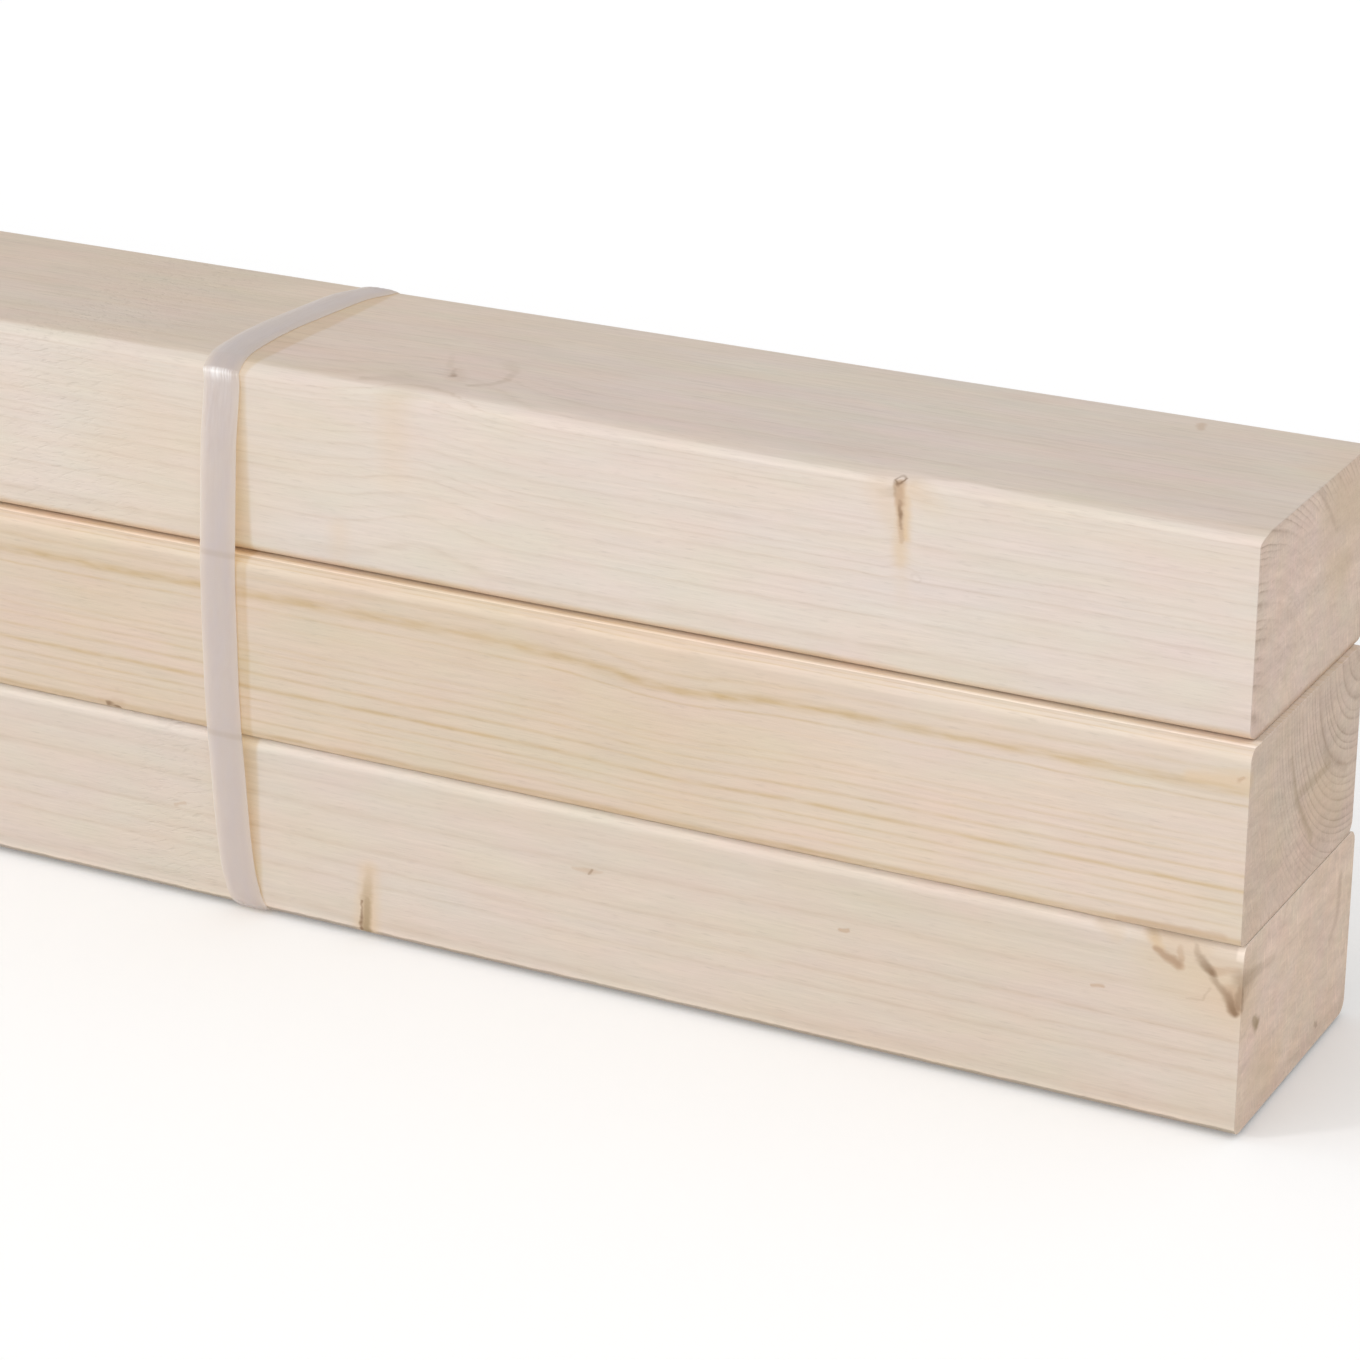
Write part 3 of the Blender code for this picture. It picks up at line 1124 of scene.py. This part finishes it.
    def sawn_shade(self):
        """How light the ends are: rows and slants that the saw left, pores, blotches and scratches."""
        seed = self.batten.seed
        self.rows = self.speckle(1 / 4.5, 1 / 0.8, 0.6)
        bands = self.noise_1d(self.times_plus(self.height, 1 / 4.2, 3.1 * seed), 1.0)
        self.pores = self.speckle(0.9, 0.9, 0.7)
        slanted = self.times_plus(self.depth, 0.36, self.height)
        drawn = self.times(self.depth, 1 / 13)
        slanted = self.noise(self.join(7.7 * seed, drawn, self.times(slanted, 1 / 1.9)), 1.0)
        blotches = self.speckle(1 / 19, 1 / 9, 0.5)
        scratches = self.times(self.times_plus(self.height, 0.25, self.depth), 1 / 0.55)
        scratches = self.join(5.3 * seed, scratches, self.times(self.height, 1 / 6))
        scratches = self.remap(self.noise(scratches, 1.0, 1.0), 0.58, 0.76)
        parts = ((self.rows, 0.24), (bands, 0.16), (self.pores, 0.16), (slanted, 0.17), (blotches, 0.20))
        shade = 0.99 - 0.5 * sum(strength for _, strength in parts)
        for part, strength in (*parts, (scratches, 0.14)):
            shade = self.times_plus(part, strength, shade)
        return shade

    def end_grain(self, lines, radius):
        """How much late wood shows on the ends, where it is clearest near the edges."""
        below_top = self.minus(self.size.z, self.height)
        inside = self.math("MINIMUM", self.edge(self.depth, self.size.y), below_top)
        at_edge, further_in, reach = self.batten.end_lines
        shown = self.math("POWER", lines, 0.7)
        shown = self.times(shown, self.remap(inside, 1.5, 7.0, at_edge, further_in))
        return self.times(shown, self.remap(radius, reach, reach + 22, 1.0, 0.25))

    def paint_shades_and_tint(self, colour):
        """Paints warm shade on the low edge, shade on the top and a shadow beside the straps, and tints
        the wood at the end.
        """
        # Painted warm shade along the low front edge
        tint, crisp, gone = self.batten.low_edge
        ragged = self.plus(self.height, self.sway(14, 14, 0.30, 2.0))
        low = self.fade(self.times_plus(self.end, 2.0, ragged), crisp, gone)
        low = self.times(low, self.remap(self.fibres(45, 30, 1.0), 0.35, 0.65, 0.55, 1.0))
        # Painted shade on the top face, most of all beyond the first strap
        on_top = self.times(self.remap(self.along, 130, 290, 0.35, 1.0, soft=True), self.top)
        at_end = self.times(self.fade(self.along, 60, 150), self.side)
        tints = (
            (low, tint),
            (on_top, self.settings.top_shade),
            (self.strap_shadow(), self.settings.strap_shadow),
            (at_end, self.batten.fresh),
        )
        for share, tint in tints:
            colour = self.blend(1.0, colour, self.blend(share, (1.0, 1.0, 1.0), tint), "MULTIPLY")
        return colour

    def paint_gap_shade_and_light(self, colour):
        """Paints a dark shade line below the low edge, and paints light on the wood below the batten
        above, where that batten shades it.
        """
        # Painted dark shade line below the low edge
        if self.batten.low_line:
            ragged = self.plus(self.height, self.sway(5, 5, 0.18, 2.0))
            starts, gone = self.batten.low_line - 0.4, self.batten.low_line + 0.2
            line = self.times_plus(self.end, 2.0, ragged)
            line = self.remap(line, starts, gone, 0.55, 1.0, soft=True)
            colour = self.scaled(colour, line)
        # Painted light on the top front edge and the end strip, below the overhang of the batten above
        if self.batten.rim:
            starts, full, strength = self.batten.rim
            near_gap = self.remap(self.height, starts, full, 0.0, 1.0, soft=True)
            painted_light = self.fade(self.depth, 5.0, 8.0, strength)
            strip = self.fade(self.along, 1.3, 2.3, self.settings.end_strip_light)
            painted_light = self.times(self.times(near_gap, self.most(painted_light, strip)), self.side)
            painted_light = self.scaled((0.95, 1.08, 1.25), painted_light)
            colour = self.vector("MULTIPLY", colour, self.vector("ADD", painted_light, (1.0, 1.0, 1.0)))
        return colour

    def relief(self, fuzz, lines, torn):
        """Late wood that stands up a little, fibres and torn grain, and the saw's rows."""
        planed = self.times_plus(fuzz, 0.12, self.times(lines, 0.04))
        planed = self.times(self.times_plus(torn, -0.15, planed), self.side)
        sawn = self.times_plus(self.rows, 0.35, self.times(self.pores, 0.30))
        relief = self.times_plus(sawn, self.end, planed)
        return self.node("Bump", {"Height": relief, "Strength": 0.6, "Distance": MM}).outputs[0]


def spruce(node, batten, settings):
    """Planed spruce, its rings worked out from the pith, with knots, fibres and sawn ends."""
    wood = Wood(node, batten, settings)
    wood.find_knots()
    radius = wood.distance_from_pith()
    lines = wood.rings(radius)
    wood.find_faces()
    torn = wood.torn_grain()
    shade = wood.planed_shade(torn)
    end_shade = wood.sawn_shade()
    end_lines = wood.end_grain(lines, radius)
    lines = wood.times(lines, batten.lines)

    shown = wood.on_each(lines, end_lines)
    pale = wood.tinted(wood.blend(wood.end, batten.pale, batten.sawn))
    colour = wood.blend(shown, pale, wood.blend(wood.end, batten.line, settings.sawn_line))
    shade = wood.on_each(shade, end_shade)
    colour = wood.blend(1.0, colour, wood.join(shade, shade, shade), "MULTIPLY")
    colour = wood.paint_gap_shade_and_light(wood.paint_shades_and_tint(colour))
    colour = wood.paint_marks(wood.paint_knots(colour))

    fuzz = wood.fibres(8, 0.5, 3.0, 0.65)
    normal = wood.relief(fuzz, lines, torn)
    shader = wood.node("BsdfPrincipled", {
        "Base Color": colour,
        "Roughness": wood.times_plus(wood.end, 0.22, wood.times_plus(fuzz, 0.16, 0.48)),
        "Specular IOR Level": 0.35,
        "Normal": normal,
    })
    wood.node("OutputMaterial", {"Surface": shader.outputs[0]})
    return wood.made


def milky_plastic(settings):
    """Undyed polypropylene, whitened in streaks where it bends sharply."""
    finish = Finish(bpy.data.materials.new("milky_strap"))
    run = finish.attribute("band").outputs["Vector"]
    part = finish.split(run)
    streaks = finish.vector("MULTIPLY", run, (1.6, 0.12, 0.0))
    streaks = finish.noise(streaks, 1.0, 3.0, 0.6)
    cloudy = finish.noise(finish.vector("MULTIPLY", run, (0.25, 0.07, 0.0)), 1.0, 2.0)
    bent = finish.times(part[2], finish.remap(streaks, 0.35, 0.62))
    cooler = [c * f for c, f in zip(settings.milky, (0.97, 0.98, 1.03))]
    body = finish.blend(finish.remap(cloudy, 0.3, 0.7), settings.milky, cooler)
    body = finish.blend(bent, body, settings.stressed)
    near_edge = finish.remap(finish.unsigned(part[0]), 2.4, 4.8, 0.0, 0.45, soft=True)
    body = finish.blend(near_edge, body, settings.edge_glow)
    # Painted shade: the dark gaps between the battens show faintly on the plastic
    place = finish.split(finish.node("TexCoord").outputs["Object"])
    for node in ("batten_middle", "batten_top"):
        off = finish.unsigned(finish.minus(place[2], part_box(node)[0].z))
        shown = finish.fade(off, 0.2 * MM, 1.2 * MM, settings.shows_through)
        body = finish.blend(shown, body, settings.behind)
    relief = finish.plus(finish.times(streaks, 0.12), finish.times(bent, 0.1))
    bump = finish.node("Bump", {"Height": relief, "Strength": 0.4, "Distance": MM})
    shader = finish.node("BsdfPrincipled", {
        "Base Color": body,
        "Roughness": finish.times_plus(streaks, 0.2, 0.28),
        "Subsurface Weight": 0.7,
        "Subsurface Radius": (1.0, 0.9, 0.8),
        "Subsurface Scale": 1.5 * MM,
        "Specular IOR Level": 0.45,
        "Normal": bump.outputs[0],
    })
    # The plastic is milky, so it shades the wood beside it only a little
    rays = finish.node("LightPath").outputs
    through = finish.most(rays["Is Shadow Ray"], rays["Is Diffuse Ray"])
    through = finish.times(through, settings.lets_through)
    clear = finish.node("BsdfTransparent", {"Color": (1.0, 0.93, 0.82, 1.0)})
    mixed = finish.node("MixShader", {0: through, 1: shader.outputs[0], 2: clear.outputs[0]})
    finish.node("OutputMaterial", {"Surface": mixed.outputs[0]})
    return finish.made


def plain_floor(settings):
    """Pale matt floor that is a little lit by itself."""
    finish = Finish(bpy.data.materials.new("studio_floor"))
    shader = finish.node("BsdfPrincipled", {
        "Base Color": (*settings.floor_colour, 1.0),
        "Roughness": 0.9,
        "Specular IOR Level": 0.0,
        "Emission Color": (1.0, 1.0, 1.0, 1.0),
        "Emission Strength": settings.floor_glow,
    })
    finish.node("OutputMaterial", {"Surface": shader.outputs[0]})
    return finish.made


# ---------------------------------------------------------------------------------------------
# Straps


def taut(points):
    """The points that a band drawn tight round all of them touches, in order."""
    points = sorted(set(map(tuple, np.round(points, 6))))

    def half(walk):
        chain = []
        for p in walk:
            while len(chain) > 1:
                (ax, ay), (bx, by) = chain[-2], chain[-1]
                if (bx - ax) * (p[1] - ay) - (by - ay) * (p[0] - ax) > 0:
                    break
                chain.pop()
            chain.append(p)
        return chain[:-1]

    return np.array(half(points) + half(points[::-1]))


def spread(loop, step):
    """A closed loop's points, spaced evenly about step apart."""
    closed = np.vstack([loop, loop[:1]])
    run = np.concatenate([[0.0], np.cumsum(np.linalg.norm(np.diff(closed, axis=0), axis=1))])
    count = round(run[-1] / step)
    places = np.arange(count) * run[-1] / count
    return np.column_stack([np.interp(places, run, closed[:, k]) for k in (0, 1)]), run[-1] / count


def facing(share):
    """1 where a strap faces one way, and 0 where it faces another, with a soft change between."""
    return smooth((share - 0.2) / 0.6)


def strap_mesh(name, settings, wood):
    """One strap, drawn tight round the battens' own sections at its place."""
    low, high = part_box(name)
    middle = (low.x + high.x) / 2
    right = middle > 0
    outline = []
    for node, batten in BATTENS.items():
        b_low, b_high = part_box(node)
        size = ((b_high.y - b_low.y) / MM, (b_high.z - b_low.z) / MM)
        ring = section(batten, (b_high.x - middle) / MM, size, wood)
        outline.append(ring[:, :2] + np.array([b_low.y, b_low.z]) / MM)
    line, step = spread(taut(np.concatenate(outline)), STRAP_STEP)
    ahead = np.roll(line, -2, 0) - np.roll(line, 2, 0)
    outward = np.column_stack([ahead[:, 1], -ahead[:, 0]])
    outward /= np.linalg.norm(outward, axis=1)[:, None]
    bend = np.linalg.norm(np.roll(outward, -2, 0) - np.roll(outward, 2, 0), axis=1)
    bend = np.clip(bend / FULL_BEND, 0, 1)
    for _ in range(3):
        bend = (np.roll(bend, 1) + bend + np.roll(bend, -1)) / 3

    rise = (line[:, 1] - line[:, 1].min()) / np.ptp(line[:, 1])
    front = facing(-outward[:, 0])
    shares, strays = zip(*STRAP_DRIFT)
    sideways = np.interp(rise, shares, strays) * front
    sideways += facing(-outward[:, 1]) * strays[0]
    far = line[:, 0] - line[:, 0].min()
    sideways += facing(outward[:, 1]) * np.interp(far, *zip(*STRAP_BOW))
    kernel = np.hanning(2 * EVENED_OVER + 1)
    padded = np.concatenate([sideways[-EVENED_OVER:], sideways, sideways[:EVENED_OVER]])
    sideways = np.convolve(padded, kernel / kernel.sum(), "valid")
    lifted = LIFTED * front * (1 - bend)
    # Whitened where it bends over the top edges, and a little further down
    below = line[:, 1].max() - line[:, 1]
    white = smooth(1.25 - below / 3.4) + 0.25 * np.exp(-below / 14)
    white *= smooth((np.abs(outward[:, 0]) - 0.45) / 0.4)

    half, thick = settings.width / 2 / MM, settings.thickness / MM
    across = np.linspace(-half, half, STRAP_ACROSS)
    clearance = settings.clearance / MM
    chance = random.Random(5 if right else 8)
    wrinkle = np.array([chance.uniform(-1, 1) for _ in across])
    rings, bands = [], []
    run = np.arange(len(line)) * step
    for i, (point, away) in enumerate(zip(line, outward)):
        tilt = lifted[i] * (0.5 + 0.5 * across / half)
        ripple = 0.10 * bend[i] * wrinkle
        base = clearance + tilt + np.abs(ripple)
        outer = base + thick * (1 - 0.8 * np.abs(across / half) ** 3)
        offsets = np.concatenate([outer, base[::-1]])
        sides = np.concatenate([across, across[::-1]])
        depth = point[0] + away[0] * offsets
        height = point[1] + away[1] * offsets
        rings.append(np.column_stack([sides + sideways[i], depth, height]))
        same = np.ones(len(sides))
        bands.append(np.column_stack([sides, same * run[i], same * white[i]]))
    points = np.concatenate(rings)
    world = points * MM
    world[:, 0] += middle
    mesh = bpy.data.meshes.new(name + "_band")
    mesh.from_pydata(world, [], skin((len(rings), len(rings[0])), closed=True))
    store(mesh, "band", np.concatenate(bands))
    close_up(mesh, STRAP_CREASE)
    return mesh


# ---------------------------------------------------------------------------------------------
# Operators


def place_piece(name, mesh, node):
    """Links a piece, hands it to the frame and hides the solid that it stands for."""
    piece = bpy.data.objects.new(name, mesh)
    bpy.context.scene.collection.objects.link(piece)
    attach(piece, "root")
    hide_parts(node)
    return piece


class BUNDLE_OT_battens(bpy.types.Operator):
    """Skin the three battens and give each its own wood"""

    bl_idname = "bundle.battens"
    bl_label = "Battens"

    def execute(self, context):
        settings = context.scene.bundle_battens
        for node, batten in BATTENS.items():
            mesh = batten_mesh(node, batten, settings)
            mesh.materials.append(spruce(node, batten, settings))
            name = node.replace("batten", "spruce")
            place_piece(name, mesh, node)
        return {"FINISHED"}


class BUNDLE_OT_straps(bpy.types.Operator):
    """Draw the two plastic straps tight round the stack"""

    bl_idname = "bundle.straps"
    bl_label = "Straps"

    def execute(self, context):
        settings = context.scene.bundle_straps
        plastic = milky_plastic(settings)
        for node in ("strap_right", "strap_left"):
            mesh = strap_mesh(node, settings, context.scene.bundle_battens)
            mesh.materials.append(plastic)
            place_piece(node.replace("strap", "band"), mesh, node)
        return {"FINISHED"}


def aim(side, up):
    """The way to a place to the left of straight in front by one angle and up by the other."""
    return Vector((-math.sin(side) * math.cos(up), -math.cos(side) * math.cos(up), math.sin(up)))


class BUNDLE_OT_stage(bpy.types.Operator):
    """Lay the floor and set the light and the camera"""

    bl_idname = "bundle.stage"
    bl_label = "Stage"

    def execute(self, context):
        settings = context.scene.bundle_stage
        self.lay_floor(context, settings)
        self.set_light(context, settings)
        self.set_camera(context, settings)
        return {"FINISHED"}

    def lay_floor(self, context, settings):
        mesh = bpy.data.meshes.new("floor")
        work = bmesh.new()
        bmesh.ops.create_grid(work, x_segments=2, y_segments=2, size=settings.floor_size / 2)
        work.to_mesh(mesh)
        work.free()
        mesh.materials.append(plain_floor(settings))
        floor = bpy.data.objects.new("floor", mesh)
        floor.location.z = CAD_BOX[0].z - FLOOR_GAP
        context.scene.collection.objects.link(floor)

    def set_light(self, context, settings):
        studio = Finish(bpy.data.worlds.new("studio"))
        context.scene.world = studio.made
        seen = studio.node("LightPath").outputs["Is Camera Ray"]
        strength = studio.remap(seen, 0.0, 1.0, settings.sky, 1.0)
        white = {"Color": (1.0, 1.0, 1.0, 1.0), "Strength": strength}
        background = studio.node("Background", white)
        studio.node("OutputWorld", {"Surface": background.outputs[0]})
        for name in ("key", "broad", "side"):
            parts = ("strength", "side", "height", "softness")
            held = [getattr(settings, name + "_" + part) for part in parts]
            self.hang_lamp(context, name, *held)

    def hang_lamp(self, context, name, strength, side, up, softness):
        """A soft lamp, far off, to the left of straight in front by the angle side."""
        lamp = bpy.data.lights.new(name, "SUN")
        lamp.energy = strength
        lamp.angle = softness
        held = bpy.data.objects.new(name, lamp)
        towards = aim(side, up)
        held.rotation_euler = towards.to_track_quat("Z", "Y").to_euler()
        held.location = towards * LAMP_DISTANCE
        context.scene.collection.objects.link(held)

    def set_camera(self, context, settings):
        data = bpy.data.cameras.new("camera")
        data.lens = settings.lens
        data.sensor_width = SENSOR_WIDTH
        data.clip_start, data.clip_end = CAMERA_REACH
        camera = bpy.data.objects.new("camera", data)
        side, down = settings.camera_side, settings.camera_down
        # It looks towards the back, where aim gives the way to the front
        ahead = aim(side, -down)
        ahead.y = -ahead.y
        level = ahead.to_track_quat("-Z", "Y").to_matrix()
        camera.matrix_world = (
            Matrix.Translation(settings.camera_place)
            @ (level @ Matrix.Rotation(settings.camera_roll, 3, "Z")).to_4x4()
        )
        context.scene.collection.objects.link(camera)
        context.scene.camera = camera
        context.scene.view_settings.view_transform = "Standard"


class BUNDLE_PT_panel(bpy.types.Panel):
    """Lists the steps that dress the bundle"""

    bl_idname = "BUNDLE_PT_panel"
    bl_label = "Bundle of Battens"
    bl_space_type = "VIEW_3D"
    bl_region_type = "UI"
    bl_category = "Battens"

    def draw(self, context):
        for operator in OPERATORS:
            self.layout.operator(operator.bl_idname)
        for group in GROUPS:
            box = self.layout.box()
            held = getattr(context.scene, group)
            for key in held.bl_rna.properties.keys():
                if key not in ("rna_type", "name"):
                    box.prop(held, key)


GROUPS = {
    "bundle_battens": BattenSettings,
    "bundle_straps": StrapSettings,
    "bundle_stage": StageSettings,
}
OPERATORS = (BUNDLE_OT_battens, BUNDLE_OT_straps, BUNDLE_OT_stage)
CLASSES = (*GROUPS.values(), *OPERATORS, BUNDLE_PT_panel)


def register():
    for cls in CLASSES:
        bpy.utils.register_class(cls)
    for name, group in GROUPS.items():
        setattr(bpy.types.Scene, name, bpy.props.PointerProperty(type=group))


def unregister():
    for name in GROUPS:
        delattr(bpy.types.Scene, name)
    for cls in reversed(CLASSES):
        bpy.utils.unregister_class(cls)


def main():
    register()
    bpy.ops.bundle.battens()
    bpy.ops.bundle.straps()
    bpy.ops.bundle.stage()


if __name__ == "__main__":
    main()
